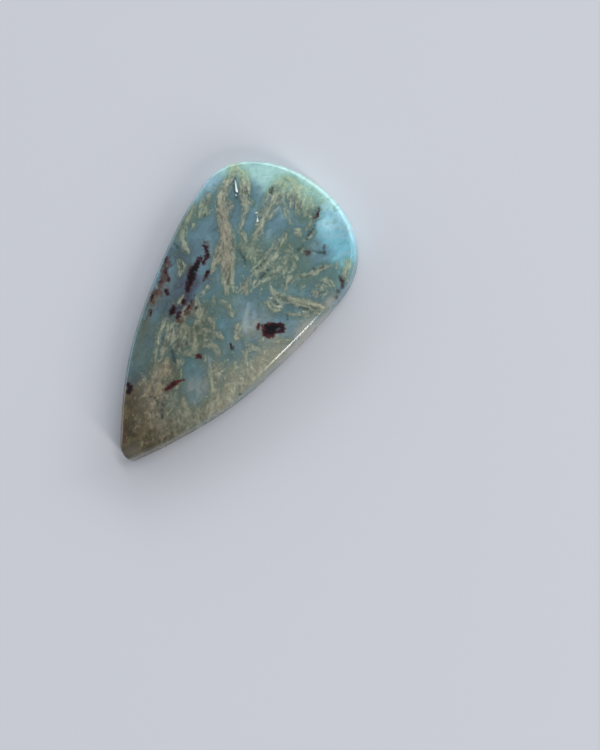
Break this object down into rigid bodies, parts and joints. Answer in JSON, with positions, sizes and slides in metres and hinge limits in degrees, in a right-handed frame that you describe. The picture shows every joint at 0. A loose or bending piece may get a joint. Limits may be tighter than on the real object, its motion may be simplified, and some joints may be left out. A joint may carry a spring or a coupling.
{
  "type": "larimar cabochon",
  "caption": "Polished teardrop cabochon of blue larimar with a flat back, upright girdle, rounded shoulder and low domed face.",
  "frame": {"origin": "middle of the outline's box, on the flat back", "axes": "+Z out of the domed face, +Y from the pointed tip to the round crown, +X to the right as the face is seen"},
  "size_m": [0.0228, 0.0418, 0.0043],
  "materials": {
    "polished_larimar": "polished, blue and olive mottled"
  },
  "bodies": {
    "root": {"larimar": "polished_larimar"}
  },
  "joints": []
}
